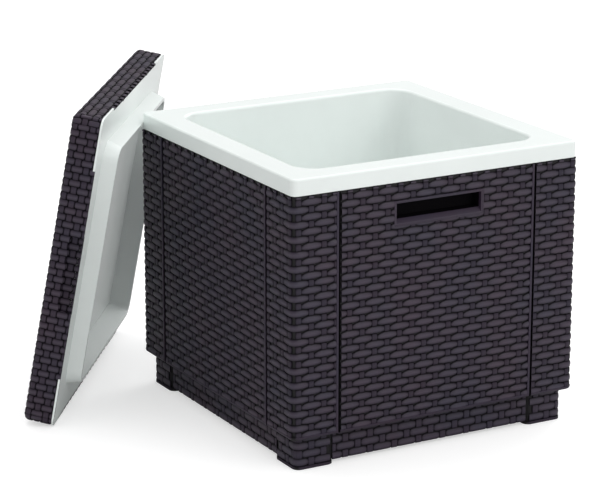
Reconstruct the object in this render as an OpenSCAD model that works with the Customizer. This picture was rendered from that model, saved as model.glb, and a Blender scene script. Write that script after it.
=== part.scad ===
// Square cool box that serves as a side table. The moulded casing stands on a recessed base,
// a deep tub hangs in it by its rim, and the lid leans on the box with its plug side inwards.
// The origin is on the floor, under the middle of the box. X runs along the front, Y to the back.

/* [Casing] */
// Width of the casing over the crests of its pattern
casing_w = 424; // [400:1:450]
// Height of the box to the top of the rim
box_h = 380; // [350:1:420]
// Height of the casing's lower edge above the floor
casing_z = 43; // [38:1:50]
// Thickness of the casing walls
wall = 3; // [2.5:0.1:3.5]
// Height of the woven pattern's crests over the walls
relief = 2.5; // [1.5:0.1:3]
// Outside radius of the corner posts over the crests
corner_r = 10; // [9:0.5:14]
// Width of each face of a corner post
post_w = 66; // [60:1:75]
// Width of the groove that shows between a post and a panel
groove_w = 3.5; // [2.5:0.1:5]
// Width of the plain strip that borders a groove
strip_w = 3; // [2:0.5:5]
// Height of the plain band along the casing's lower edge
band_h = 4.5; // [4:0.5:7]
// Radius on the casing's lower edge
band_r = 4; // [1:0.5:4]
// Thickness of the tongues on the panels
tongue_t = 3; // [2:0.1:3.5]
// How far a tongue reaches into its post
tongue_in = 7; // [4:0.5:8]
// Play round each tongue
tongue_play = 0.3; // [0.1:0.05:0.5]
// Depth of the stiffening ribs behind a panel
rib_d = 6; // [3:0.5:8]
// Thickness of the stiffening ribs
rib_t = 2; // [1.5:0.1:3]
// Number of upright ribs behind a panel
upright_ribs = 3; // [2:1:4]

/* [Tub and rim] */
// Distance from the casing's crests in to the rim
rim_inset = 2; // [1:0.5:5]
// Height of the rim's outer band
rim_h = 21.5; // [18:0.5:26]
// Outside corner radius of the rim
rim_r = 8; // [6:0.5:12]
// Radius on the top outer edge of the rim
rim_edge_r = 3; // [1:0.5:4]
// Shadow gap between the rim and the casing
rim_gap = 1; // [0.5:0.1:2]
// Width of the rim's flat top, from its outside to the mouth
rim_top_w = 37; // [34:0.5:45]
// Corner radius of the mouth
mouth_r = 32; // [26:1:38]
// Radius on the mouth's edge
lip_r = 4; // [3.5:0.1:5]
// Thickness of the tub's walls and floor
tub_wall = 3; // [2.5:0.1:3.4]
// How much each wall of the tub leans in towards the floor
tub_draft = 8; // [4:0.5:10]
// Height of the tub's inside floor
tub_floor_z = 60; // [58:1:70]
// Radius between the tub's walls and its floor
tub_floor_r = 12; // [6:1:14]

/* [Handles] */
// Width of a handle frame
grip_w = 132; // [110:1:150]
// Height of a handle frame
grip_h = 33; // [28:1:40]
// Distance from the top of the rim down to the middle of a handle
grip_drop = 61.5; // [55:0.5:80]
// Width of the frame round the hand hole
grip_border = 3.5; // [3:0.1:5]
// Depth of the hand hole
grip_d = 22; // [18:1:26]
// Thickness of the hand hole's walls
grip_wall = 2; // [1.5:0.1:2.5]
// Rise of the sill from front to back
sill_rise = 2; // [0:0.5:4]
// Play round each handle frame
grip_play = 0.3; // [0.1:0.05:0.5]

/* [Base] */
// Distance from the casing's crests in to the base's skirt
skirt_inset = 15; // [12:0.5:18]
// How far the feet stand proud of the skirt
foot_proud = 2.5; // [1:0.5:4]
// Width of a foot
foot_w = 52; // [44:1:60]
// Outside corner radius of a foot
foot_r = 7; // [5:0.5:10]
// How far the band round the bottom of a foot stands out
foot_band = 2; // [1:0.5:3]
// Height of the band round the bottom of a foot
foot_band_h = 3.5; // [2:0.5:6]
// Height of the skirt's lower edge above the floor
skirt_z = 5; // [3:0.5:8]
// Thickness of the base's walls and deck
base_wall = 3; // [2.5:0.1:4]
// Height from the casing's lower edge up to the deck's underside
deck_rise = 1; // [0.5:0.5:3]
// Depth of the ribs under the deck
deck_rib_d = 6; // [4:1:10]
// Play between the deck's edge and the casing
deck_play = 0.4; // [0.2:0.1:1]
// Height of the bars that locate the panels on the deck
bar_h = 6; // [4:1:10]
// Inner radius of the ring under the tub's floor
rest_ring_r = 40; // [30:1:60]

/* [Drain] */
// Diameter of the drain's bore
drain_bore = 20; // [18:0.5:22]
// Wall of the drain's tube
drain_wall = 3.5; // [3:0.5:5]
// Diameter of the drain's flange
drain_flange_d = 46; // [42:1:52]
// Thickness of the drain's flange
drain_flange_t = 2.5; // [2:0.1:4]
// Height of the tube's lower end above the floor
drain_end_z = 24; // [18:1:30]
// Thickness of the sealing washer
washer_t = 1.5; // [1:0.1:2.5]
// Height of the nut under the tub
nut_h = 5.5; // [4:0.5:7]
// Width of the nut across its flats
nut_af = 38; // [36:1:42]
// Length of the plug below its head
plug_l = 20; // [16:1:26]
// Play of the plug's stem in the bore
plug_play = 0.6; // [0.4:0.1:1]
// Thickness of the sealing ring on the plug
ring_t = 2.4; // [2:0.1:3]
// Diameter of the plug's head
plug_head_d = 32; // [28:1:38]
// Thickness of the plug's head
plug_head_t = 3.5; // [3:0.5:5]
// Height of the pull bar on the plug
pull_h = 12; // [8:1:18]

/* [Lid] */
// Height of the lid's skirt
lid_t = 41; // [36:1:50]
// Thickness of the lid's cover
lid_wall = 3; // [2.5:0.1:3.5]
// Corner radius of the lid seen from above
lid_r = 12; // [10:1:16]
// Radius along the lid's top edge
lid_edge_r = 8; // [5:0.5:9]
// Height of the plug that enters the tub's mouth
plug_h = 19; // [14:0.5:24]
// Play between the plug's foot and the mouth
plug_fit = 3; // [2:0.5:5]
// How much the plug's wall leans in over its height
plug_draft = 6; // [3:0.5:8]
// Corner radius at the plug's foot
plug_r = 24; // [20:1:28]
// Width of the plug's ridge
ridge_w = 5; // [4:0.5:6]
// Depth of the dish inside the plug
dish_d = 27; // [20:0.5:32]
// How much the dish's wall leans in over its depth
dish_draft = 9; // [6:0.5:10]
// Thickness of the tray
tray_t = 2.5; // [2:0.1:3]
// Length of the tray's lugs that wrap the lid's corners
lug_l = 69; // [60:1:76]
// Play between the tray and the cover
tray_play = 0.4; // [0.2:0.1:0.8]
// Length of the hand grips in the lid's skirt
lid_grip_l = 101; // [80:1:120]
// Height of the hand grips in the lid's skirt
lid_grip_h = 18; // [12:1:22]
// Depth of the hand grips in the lid's skirt
lid_grip_d = 2.5; // [1.5:0.1:3]
// Distance of the clips from the middle of each side
clip_x = 80; // [60:1:110]
// Width of each clip
clip_w = 6; // [4:0.5:10]
// Depth of the ribs under the lid's top
lid_rib_d = 10; // [6:1:14]

/* [Leaning lid] */
// Angle between the leaning lid and the vertical
lean_angle = 10.5; // [6:0.5:16]
// Turn of the leaning lid away from the box's left side
lean_turn = 37; // [30:1:50]
// Distance along the lid from its middle to where it touches the box
lean_shift = 4; // [-30:1:30]
// Gap where the lid touches the box
lean_gap = 0.3; // [0.2:0.1:1]

/* [Screws] */
// Diameter of the screw shanks
screw_d = 4; // [3:0.5:5]
// Diameter of the screw heads
screw_head_d = 8; // [7:0.5:9]
// Thickness of the screw heads
screw_head_t = 2.5; // [2:0.5:3]
// Length of a screw below its head
screw_l = 20; // [14:1:26]
// Distance of each screw from the casing's two faces
screw_in = 27; // [24:1:34]
// Diameter of the screw bosses
boss_d = 12; // [10:0.5:14]
// Play round the screw shanks
screw_play = 0.2; // [0.1:0.1:0.5]

/* [Hidden] */
$fn = 48;
eps = 0.01;
brown = "#453c49";
white = "#eef1f0";
grey = "#8d9196";
black = "#202022";
half = casing_w / 2;
casing_top = box_h - rim_h - rim_gap;
panel_w = casing_w - 2 * post_w - 2 * groove_w;
channel_l = tongue_in + 2 * tongue_play + wall;
face_y = relief + wall;
tongue_y = face_y + tongue_play;
channel_d = tongue_y + tongue_t + tongue_play + wall - 0.5;
rim_half = half - rim_inset;
mouth_w = 2 * (rim_half - rim_top_w);
grip_z = box_h - grip_drop;
upstand_y = rim_inset + tub_wall + 0.4;
upstand_t = 2.5;
upstand_top = box_h - tub_wall - 0.3;
deck_z = casing_z + deck_rise;
deck_top = deck_z + base_wall;
deck_half = half - face_y - deck_play;
ledge_t = 2.5;
ledge_d = 11;
skirt_half = half - skirt_inset;
foot_half = skirt_half + foot_proud;
mouth_c = mouth_w / 2 - mouth_r;
tube_r = drain_bore / 2 + drain_wall;
flange_z = tub_floor_z + washer_t;
plug_z = flange_z + drain_flange_t;
lid_w = casing_w;
lid_half = lid_w / 2;
plug_foot_half = mouth_w / 2 - plug_fit;
plug_c = plug_foot_half - plug_r;
ridge_r = plug_r - plug_draft;
dish_r = ridge_r - ridge_w;
tray_half = lid_half - lid_wall - tray_play;
crest_z = lid_t + plug_h;

// The leaning lid meets the box's corner with its ridge, or with its dish where the box is low.
// A point of the lid at b from its lower edge and d from its outer face has this height and reach.
function lean_z(b, d) = (lid_t - d) * sin(lean_angle) + b * cos(lean_angle);
function lean_reach(b, d) = b * sin(lean_angle) + d * cos(lean_angle);
dish_z = crest_z - dish_d;
ridge_b = lid_half + plug_c + ridge_r;
dish_b = lid_half + plug_c + dish_r;
contacts = [
    for (p = [
        [lid_half, dish_z], [dish_b - dish_draft, dish_z], [dish_b, crest_z], [ridge_b, crest_z]
    ]) [lean_z(p[0], p[1]), lean_reach(p[0], p[1])]
];
across = [cos(lean_turn), -sin(lean_turn)];
along = [sin(lean_turn), cos(lean_turn)];
rim_touch = [-(rim_half - rim_r), rim_half - rim_r] * across - rim_r - lookup(box_h, contacts);
casing_touch = [-(half - corner_r), half - corner_r] * across - corner_r
    - lookup(casing_top, contacts);
lean_across = min(rim_touch, casing_touch) - lean_gap;
lean_along = [-(rim_half - rim_r), rim_half - rim_r] * along + lean_shift;
lean_at = lean_across * across + lean_along * along;

// A rectangle with round corners, centred
module round_rect(w, d, r) {
    square([w - 2 * r, d], center = true);
    square([w, d - 2 * r], center = true);
    for (x = [-1, 1], y = [-1, 1])
        translate([x * (w / 2 - r), y * (d / 2 - r)]) circle(r);
}

// A profile carried round a square whose corners have their centres c from the middle.
// The profile's x is measured outwards from those centres.
module carried_round(c) {
    for (turn = [0, 90, 180, 270]) rotate([0, 0, turn]) {
        translate([c, c, 0]) rotate_extrude(angle = 90) children();
        translate([c, c, 0]) rotate([90, 0, 0]) linear_extrude(2 * c) children();
    }
}

// A square block with round corners whose walls lean from one radius to another
module leaning_block(c, r_low, r_high, z_low, z_high) {
    carried_round(c) polygon([[0, z_low], [r_low, z_low], [r_high, z_high], [0, z_high]]);
    translate([-c - eps, -c - eps, z_low]) cube([2 * c + 2 * eps, 2 * c + 2 * eps, z_high - z_low]);
}

// Places a piece that is drawn with its outer corner at the origin on one corner of the casing
module at_corner(turn) {
    rotate([0, 0, turn]) translate([-half, -half, 0]) children();
}

// Places a piece that is drawn with its outer face on y = 0 on one side of the casing
module at_side(turn) {
    rotate([0, 0, turn]) translate([0, -half, 0]) children();
}

// An angle section whose outer face stands in from the crests and which turns a round corner
module angle_section(inset, thick) {
    difference() {
        union() {
            translate([corner_r, inset]) square([post_w - corner_r, post_w - inset]);
            translate([inset, corner_r]) square([post_w - inset, post_w - corner_r]);
            translate([corner_r, corner_r]) circle(corner_r - inset);
        }
        translate([corner_r, inset + thick]) square(post_w);
        translate([inset + thick, corner_r]) square(post_w);
        translate([corner_r, corner_r]) circle(corner_r - inset - thick);
    }
}

module post_section() {
    angle_section(relief, wall);
    channel_section();
    mirror([1, -1]) channel_section();
    translate([post_w - strip_w, 0]) square([strip_w, face_y]);
}

// The channel in a post that takes a panel's tongue
module channel_section() {
    translate([post_w - channel_l, face_y - eps]) difference() {
        square([channel_l, channel_d - face_y + eps]);
        translate([wall, -eps]) square([channel_l, tongue_t + 2 * tongue_play + 2 * eps]);
    }
}

// Rounds the lower outer edge of the casing, all round it
module lower_edge() {
    carried_round(half - corner_r)
        translate([corner_r - band_r, casing_z + band_r]) difference() {
            translate([0, -band_r - 1]) square([band_r + 1, band_r + 1]);
            circle(band_r);
        }
}

// The lip that stands up inside the rim, with the shelf that joins it to the wall
module post_upstand() {
    top_l = post_w - channel_l;
    for (swap = [0, 1]) mirror([swap, -swap, 0]) {
        translate([corner_r + 1, upstand_y, casing_top - wall])
            cube([top_l - corner_r - 1, upstand_t, upstand_top - casing_top + wall]);
        translate([corner_r, face_y - eps, casing_top - wall])
            cube([top_l - corner_r, upstand_y + upstand_t - face_y + eps, wall]);
    }
    translate([face_y - eps, face_y - eps, casing_top - wall]) cube([corner_r, corner_r, wall]);
}

module post_foot() {
    difference() {
        union() {
            translate([face_y - eps, face_y - eps, deck_top])
                cube([screw_in + boss_d / 2 - face_y, screw_in + boss_d / 2 - face_y, ledge_t]);
            translate([screw_in, screw_in, deck_top]) cylinder(d = boss_d, h = screw_l + 4);
            for (swap = [0, 1]) mirror([swap, -swap, 0])
                translate([face_y - eps, screw_in - rib_t / 2, deck_top])
                    cube([screw_in - face_y, rib_t, screw_l]);
        }
        translate([screw_in, screw_in, deck_top - eps])
            cylinder(d = screw_d + screw_play, h = screw_l);
    }
}

module corner_post(turn) {
    color(brown) difference() {
        at_corner(turn) {
            difference() {
                translate([0, 0, casing_z]) linear_extrude(casing_top - casing_z) post_section();
                translate([face_y, face_y, casing_z - eps])
                    cube([post_w, post_w, deck_top - casing_z + 2 * eps]);
            }
            translate([0, 0, casing_z]) linear_extrude(band_h) angle_section(0, face_y);
            post_upstand();
            post_foot();
        }
        lower_edge();
    }
}

// The plan of a side panel: its plate, the returns at its ends, the tongues and one plain strip
module panel_section() {
    translate([-panel_w / 2, relief]) square([panel_w, wall]);
    for (side = [0, 1]) mirror([side, 0]) {
        translate([panel_w / 2 - wall, relief]) square([wall, tongue_y + tongue_t - relief]);
        translate([panel_w / 2 - wall, tongue_y])
            square([wall + groove_w + tongue_in, tongue_t]);
    }
    translate([panel_w / 2 - strip_w, 0]) square([strip_w, face_y]);
}

module panel_ribs() {
    inner_w = panel_w - wall;
    rib_low = deck_top + ledge_t;
    for (k = [1 : upright_ribs])
        translate([-inner_w / 2 + k * inner_w / (upright_ribs + 1) - rib_t / 2, face_y - eps, rib_low])
            cube([rib_t, rib_d, grip_z - grip_h - rib_low]);
    for (z = [rib_low + (grip_z - grip_h - rib_low) / 2, grip_z - grip_h])
        translate([-inner_w / 2, face_y - eps, z - rib_t / 2]) cube([inner_w, rib_d, rib_t]);
}

module side_panel() {
    difference() {
        translate([0, 0, casing_z]) linear_extrude(casing_top - casing_z) panel_section();
        translate([-half, face_y, casing_z - eps])
            cube([casing_w, half, deck_top - casing_z + 2 * eps]);
    }
    translate([-panel_w / 2, 0, casing_z]) cube([panel_w, face_y, band_h]);
    translate([-panel_w / 2 + wall, face_y - eps, deck_top])
        cube([panel_w - 2 * wall, ledge_d, ledge_t]);
    translate([-panel_w / 2, face_y - eps, casing_top - wall])
        cube([panel_w, upstand_y + upstand_t - face_y + eps, wall]);
    translate([-panel_w / 2, upstand_y, casing_top - wall])
        cube([panel_w, upstand_t, upstand_top - casing_top + wall]);
    panel_ribs();
}

module plain_panel(turn) {
    color(brown) difference() {
        at_side(turn) side_panel();
        lower_edge();
    }
}

// A panel with the hole for a handle's pocket
module handle_panel(turn) {
    cup_w = grip_w - 2 * grip_border + 2 * grip_wall + 2 * grip_play;
    cup_h = grip_h - 2 * grip_border + 2 * grip_wall + 2 * grip_play;
    color(brown) difference() {
        at_side(turn) side_panel();
        at_side(turn) translate([-cup_w / 2, -eps, grip_z - cup_h / 2])
            cube([cup_w, grip_d * 2, cup_h]);
        lower_edge();
    }
}

// The handle: a flat frame on the face and the pocket for the fingers behind it
module grip(turn) {
    hole_w = grip_w - 2 * grip_border;
    hole_h = grip_h - 2 * grip_border;
    color(brown) at_side(turn) translate([0, 0, grip_z]) difference() {
        union() {
            translate([-grip_w / 2, 0, -grip_h / 2]) cube([grip_w, relief, grip_h]);
            translate([-hole_w / 2 - grip_wall, 0, -hole_h / 2 - grip_wall])
                cube([hole_w + 2 * grip_wall, grip_d + grip_wall, hole_h + 2 * grip_wall]);
        }
        translate([hole_w / 2, 0, 0]) rotate([0, -90, 0]) linear_extrude(hole_w)
            polygon([
                [-hole_h / 2, -eps], [hole_h / 2, -eps], [hole_h / 2, grip_d],
                [-hole_h / 2 + sill_rise, grip_d]
            ]);
    }
}

// One foot, or its hollow, which is smaller all round
module foot_block(inset, z_low, z_high) {
    side = foot_w - 2 * inset;
    translate([half - foot_half + foot_w / 2, half - foot_half + foot_w / 2, z_low])
        linear_extrude(z_high - z_low) round_rect(side, side, foot_r - inset);
}

module deck_ribs() {
    reach = skirt_half - base_wall;
    for (turn = [0, 90], x = [-1, 1]) rotate([0, 0, turn])
        translate([x * reach / 3 - rib_t / 2, -reach - eps, deck_z - deck_rib_d])
            cube([rib_t, 2 * reach + 2 * eps, deck_rib_d + eps]);
}

module base() {
    color(brown) difference() {
        union() {
            translate([0, 0, deck_z]) linear_extrude(base_wall)
                round_rect(2 * deck_half, 2 * deck_half, corner_r - face_y - deck_play);
            translate([0, 0, skirt_z]) linear_extrude(deck_z - skirt_z + eps) difference() {
                round_rect(2 * skirt_half, 2 * skirt_half, foot_r);
                square(2 * (skirt_half - base_wall), center = true);
            }
            for (turn = [0, 90, 180, 270]) at_corner(turn) {
                foot_block(0, 0, deck_z + eps);
                foot_block(-foot_band, 0, foot_band_h);
            }
            deck_ribs();
            for (turn = [0, 90, 180, 270]) at_side(turn)
                translate([-panel_w / 2 + 10, face_y + ledge_d + deck_play, deck_top - eps])
                    cube([panel_w - 20, base_wall, bar_h]);
            translate([0, 0, deck_top - eps])
                cylinder(r = rest_ring_r + base_wall, h = tub_floor_z - tub_wall - deck_top - 0.3);
        }
        for (turn = [0, 90, 180, 270]) at_corner(turn) {
            foot_block(base_wall, -eps, deck_z);
            translate([screw_in, screw_in, deck_z - eps])
                cylinder(d = screw_d + 2 * screw_play, h = base_wall + 3 * eps);
        }
        translate([0, 0, deck_top]) cylinder(r = rest_ring_r, h = tub_floor_z);
        translate([0, 0, deck_z - eps]) cylinder(r = tube_r + 2, h = base_wall + 3 * eps);
    }
}

module base_screws() {
    for (turn = [0, 90, 180, 270]) color(grey) at_corner(turn)
        translate([screw_in, screw_in, deck_z]) {
            translate([0, 0, -screw_head_t]) cylinder(d = screw_head_d, h = screw_head_t);
            cylinder(d = screw_d, h = screw_l);
        }
}

// The rim's outer band with its rounded edge, and the flat top out to that band
module rim() {
    carried_round(rim_half - rim_r) difference() {
        union() {
            translate([rim_r - tub_wall, box_h - rim_h]) square([tub_wall, rim_h]);
            translate([0, box_h - tub_wall]) square([rim_r, tub_wall]);
        }
        translate([rim_r - rim_edge_r, box_h - rim_edge_r]) difference() {
            square(rim_edge_r + 1);
            circle(rim_edge_r);
        }
    }
    translate([0, 0, box_h - tub_wall]) linear_extrude(tub_wall)
        square(2 * (rim_half - rim_r) + 2 * eps, center = true);
}

module tub_cavity() {
    carried_round(mouth_c) difference() {
        polygon([
            [0, tub_floor_z], [mouth_r - tub_draft, tub_floor_z],
            [mouth_r, box_h + eps], [0, box_h + eps]
        ]);
        translate([mouth_r - tub_draft - tub_floor_r, tub_floor_z - 1]) difference() {
            square([tub_floor_r + 1, tub_floor_r + 1]);
            translate([0, tub_floor_r + 1]) circle(tub_floor_r);
        }
    }
    translate([-mouth_c - eps, -mouth_c - eps, tub_floor_z])
        cube([2 * mouth_c + 2 * eps, 2 * mouth_c + 2 * eps, box_h]);
    carried_round(mouth_c) translate([mouth_r - 1, box_h - lip_r]) difference() {
        square([lip_r + 1, lip_r + 1]);
        translate([lip_r + 1, 0]) circle(lip_r);
    }
}

module tub_liner() {
    color(white) difference() {
        union() {
            rim();
            leaning_block(
                mouth_c, mouth_r - tub_draft + tub_wall, mouth_r + tub_wall,
                tub_floor_z - tub_wall, box_h - eps
            );
        }
        tub_cavity();
        translate([0, 0, tub_floor_z - tub_wall - eps])
            cylinder(r = tube_r + 0.4, h = tub_wall + 3 * eps);
    }
}

module drain_spout() {
    color(grey) difference() {
        union() {
            translate([0, 0, flange_z]) cylinder(d = drain_flange_d, h = drain_flange_t);
            translate([0, 0, drain_end_z]) cylinder(r = tube_r, h = flange_z - drain_end_z + eps);
        }
        translate([0, 0, drain_end_z - eps])
            cylinder(d = drain_bore, h = plug_z - drain_end_z + 3 * eps);
    }
}

module drain_washer() {
    color(black) translate([0, 0, tub_floor_z]) difference() {
        cylinder(d = drain_flange_d - 2, h = washer_t);
        translate([0, 0, -eps]) cylinder(r = tube_r + 0.2, h = washer_t + 3 * eps);
    }
}

module drain_nut() {
    color(grey) translate([0, 0, tub_floor_z - tub_wall - nut_h]) difference() {
        cylinder(d = nut_af / cos(30), h = nut_h, $fn = 6);
        translate([0, 0, -eps]) cylinder(r = tube_r + 0.15, h = nut_h + 3 * eps);
    }
}

// The plug's stem, grooved for its ring, with a head and a bar to pull it by
module drain_plug() {
    stem_r = drain_bore / 2 - plug_play;
    groove_z = plug_z - plug_l / 2;
    color(white) difference() {
        union() {
            translate([0, 0, plug_z]) cylinder(d = plug_head_d, h = plug_head_t);
            translate([0, 0, plug_z - plug_l]) cylinder(r = stem_r, h = plug_l + eps);
            translate([-plug_head_d * 0.35, -2, plug_z + plug_head_t - eps])
                cube([plug_head_d * 0.7, 4, pull_h]);
        }
        translate([0, 0, groove_z]) rotate_extrude()
            translate([drain_bore / 2 - ring_t - 0.15, -ring_t / 2 - 0.1])
                square([ring_t + 0.2, ring_t + 0.2]);
        translate([0, 3, plug_z + plug_head_t + pull_h / 2]) rotate([90, 0, 0])
            cylinder(r = pull_h / 3, h = 6);
    }
}

module drain_plug_ring() {
    color(black) translate([0, 0, plug_z - plug_l / 2]) rotate_extrude()
        translate([drain_bore / 2 - 0.05 - ring_t / 2, 0]) circle(d = ring_t);
}

// Stands a lid that is drawn face down, centred, on its edge against the box's corner
module leaning() {
    translate([lean_at[0], lean_at[1], lid_t * sin(lean_angle)])
        rotate([0, 0, -lean_turn]) rotate([0, lean_angle, 0]) rotate([90, 0, 90])
            translate([0, lid_half, 0]) children();
}

// The cover's outside, face down: a rounded edge below and the skirt standing up
module cover_shape(inset, z_low, edge_r) {
    r = lid_r - inset;
    carried_round(lid_half - lid_r) difference() {
        translate([0, z_low]) square([r, lid_t + 1 - z_low]);
        translate([r - edge_r, z_low - 1]) difference() {
            square([edge_r + 1, edge_r + 1]);
            translate([0, edge_r + 1]) circle(edge_r);
        }
    }
    translate([-lid_half + lid_r - eps, -lid_half + lid_r - eps, z_low])
        cube([lid_w - 2 * lid_r + 2 * eps, lid_w - 2 * lid_r + 2 * eps, lid_t + 1 - z_low]);
}

// The seats that carry the tray, the pads behind the hand grips and the clips
module cover_inside() {
    seat_z = lid_t - tray_t - 0.1;
    for (turn = [0, 90, 180, 270]) rotate([0, 0, turn]) {
        translate([-lid_half + lug_l, lid_half - lid_wall - 3, seat_z - 4])
            cube([lid_w - 2 * lug_l, 3 + eps, 4]);
        for (x = [-clip_x, clip_x])
            translate([x - clip_w / 2, lid_half - lid_wall - 3, seat_z - 4])
                cube([clip_w, 3 + eps, 4 + tray_t]);
    }
    for (side = [0, 180]) rotate([0, 0, side])
        translate([lid_half - lid_wall - lid_grip_d, -lid_grip_l / 2 - 3, lid_t - lid_grip_h - 3])
            cube([lid_grip_d + eps, lid_grip_l + 6, lid_grip_h + 3]);
    for (turn = [0, 90], x = [-1, 0, 1]) rotate([0, 0, turn])
        translate([x * lid_half / 2 - rib_t / 2, -lid_half + lid_wall, lid_wall - eps])
            cube([rib_t, lid_w - 2 * lid_wall, lid_rib_d]);
}

module lid_cover() {
    color(brown) leaning() difference() {
        union() {
            difference() {
                cover_shape(0, 0, lid_edge_r);
                cover_shape(lid_wall, lid_wall, lid_edge_r - lid_wall);
            }
            cover_inside();
        }
        translate([-lid_w, -lid_w, lid_t]) cube(2 * lid_w);
        for (turn = [0, 90, 180, 270]) rotate([0, 0, turn])
            translate([lid_half - lug_l, lid_half - lug_l, lid_t - tray_t - 0.1])
                cube([lug_l + 1, lug_l + 1, tray_t + 1]);
        for (side = [0, 180]) rotate([0, 0, side])
            translate([lid_half - lid_grip_d, -lid_grip_l / 2, lid_t - lid_grip_h])
                cube([lid_grip_d + 1, lid_grip_l, lid_grip_h + 1]);
    }
}

module tray_outline() {
    difference() {
        union() {
            square(2 * tray_half, center = true);
            for (turn = [0, 90, 180, 270]) rotate(turn) intersection() {
                round_rect(lid_w, lid_w, lid_r);
                translate([lid_half - lug_l + tray_play, lid_half - lug_l + tray_play]) square(lug_l);
            }
        }
        for (turn = [0, 90, 180, 270], x = [-clip_x, clip_x]) rotate(turn)
            translate([x - clip_w / 2 - tray_play, lid_half - lid_wall - 3 - tray_play])
                square([clip_w + 2 * tray_play, 8]);
        for (side = [0, 180]) rotate(side)
            translate([lid_half - lid_wall - lid_grip_d - tray_play, -lid_grip_l / 2 - 3 - tray_play])
                square([20, lid_grip_l + 6 + 2 * tray_play]);
    }
}

// The tray: a flange on the skirt, the plug's wall standing on it and the dish sunk in the plug
module lid_tray() {
    color(white) leaning() difference() {
        union() {
            difference() {
                union() {
                    translate([0, 0, lid_t - tray_t]) linear_extrude(tray_t) tray_outline();
                    leaning_block(plug_c, plug_r, ridge_r, lid_t - eps, crest_z);
                }
                leaning_block(
                    plug_c, plug_r - tray_t, ridge_r - tray_t, lid_t - tray_t - 1, crest_z - tray_t
                );
            }
            leaning_block(
                plug_c, dish_r - dish_draft + tray_t, dish_r + tray_t,
                dish_z - tray_t, crest_z - eps
            );
        }
        leaning_block(plug_c, dish_r - dish_draft, dish_r, dish_z, crest_z + eps);
    }
}

corner_post(0);  // corner_post_front_left
corner_post(90);  // corner_post_front_right
corner_post(270);  // corner_post_back_left
corner_post(180);  // corner_post_back_right
handle_panel(0);  // front_panel
handle_panel(180);  // back_panel
plain_panel(270);  // left_panel
plain_panel(90);  // right_panel
grip(0);  // front_grip
grip(180);  // back_grip
base();
base_screws();
tub_liner();
drain_spout();
drain_washer();
drain_nut();
drain_plug();
drain_plug_ring();
lid_cover();
lid_tray();
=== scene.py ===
"""Square cool box with a woven-look casing on a recessed base, and its lid leaning on it."""

from math import cos, pi, radians, sin

import bmesh
import bpy
from bpy.props import FloatProperty, FloatVectorProperty, IntProperty, PointerProperty
from mathutils import Matrix, Vector


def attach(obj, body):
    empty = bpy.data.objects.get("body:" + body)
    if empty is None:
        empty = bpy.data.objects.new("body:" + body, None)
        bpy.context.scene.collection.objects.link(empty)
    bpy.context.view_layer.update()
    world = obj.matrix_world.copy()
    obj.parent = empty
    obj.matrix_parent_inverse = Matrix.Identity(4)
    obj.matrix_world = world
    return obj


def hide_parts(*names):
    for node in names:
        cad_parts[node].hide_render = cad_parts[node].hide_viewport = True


bl_info = {
    "name": "Cooler table",
    "version": (1, 0, 0),
    "blender": (4, 5, 0),
    "location": "View3D > Sidebar > Cooler",
    "description": "Dresses the cool box with its moulded weave, its lid cover, finishes and stage",
    "category": "Object",
}

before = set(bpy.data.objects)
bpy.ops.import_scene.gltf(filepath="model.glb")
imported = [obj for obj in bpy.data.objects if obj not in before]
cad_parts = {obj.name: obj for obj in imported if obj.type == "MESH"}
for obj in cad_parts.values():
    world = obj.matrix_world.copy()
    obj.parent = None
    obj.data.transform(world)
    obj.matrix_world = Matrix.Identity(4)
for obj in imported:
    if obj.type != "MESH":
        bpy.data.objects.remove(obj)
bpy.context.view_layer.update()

X, Y, Z = range(3)
SIDES = {"front": 0, "right": 90, "back": 180, "left": 270}
CORNERS = {"front_left": 0, "front_right": 90, "back_right": 180, "back_left": 270}


# Sizes and colours that can be changed in the sidebar


def length_prop(name, about, value):
    return FloatProperty(
        name=name, description=about, default=value, unit="LENGTH", subtype="DISTANCE")


def angle_prop(name, about, value):
    return FloatProperty(
        name=name, description=about, default=value, unit="ROTATION", subtype="ANGLE")


def colour_prop(name, about, value):
    return FloatVectorProperty(
        name=name, description=about, default=value, subtype="COLOR", min=0, max=1)


def power_prop(name, about, value):
    return FloatProperty(name=name, description=about, default=value, unit="POWER", min=0)


def strength_prop(name, about, value):
    return FloatProperty(name=name, description=about, default=value, min=0, max=2)


class WeaveSizes(bpy.types.PropertyGroup):
    """Sizes of the moulded weave on the casing"""

    column: length_prop("Column pitch", "Distance from one stake to the next", 0.0182)
    row: length_prop("Row pitch", "Distance from one strand to the next", 0.0094)
    strand: length_prop(
        "Strand length", "Length of a strand where it shows between two stakes", 0.0277)
    strand_width: length_prop("Strand width", "Width of a strand in its middle", 0.0092)
    stake_width: length_prop("Stake width", "Width of a stake between two strands", 0.0084)
    stake_height: length_prop(
        "Stake height", "Height of a stake between the strands above and below", 0.0084)
    shift: length_prop("Shift", "How far a panel's weave sits off the panel's middle", -0.0022)
    relief: length_prop("Relief", "Height of the crests over the casing's wall", 0.0025)


class CasingSizes(bpy.types.PropertyGroup):
    """Sizes of the casing that the weave covers"""

    half: length_prop("Half width", "Distance from the middle to the crests of the weave", 0.212)
    corner: length_prop("Corner radius", "Radius of the corner posts over the crests", 0.010)
    post: length_prop("Post width", "Width of one face of a corner post", 0.066)
    strip: length_prop("Plain strip", "Width of the plain strip beside a groove", 0.003)
    panel: length_prop("Panel width", "Width of a side panel between two grooves", 0.285)
    low: length_prop("Weave from", "Height of the weave's lower edge", 0.0475)
    high: length_prop("Weave to", "Height of the weave's upper edge", 0.3575)
    first_row: length_prop(
        "First row", "Height of the first row of strands, under the lower edge", 0.0305)
    pairs: IntProperty(
        name="Pairs of rows", description="Number of pairs of rows up the casing",
        default=18, min=2, max=24)
    grip_width: length_prop("Grip width", "Width of a handle frame", 0.132)
    grip_low: length_prop("Grip from", "Height of a handle frame's lower edge", 0.302)
    grip_high: length_prop("Grip to", "Height of a handle frame's upper edge", 0.335)


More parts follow.
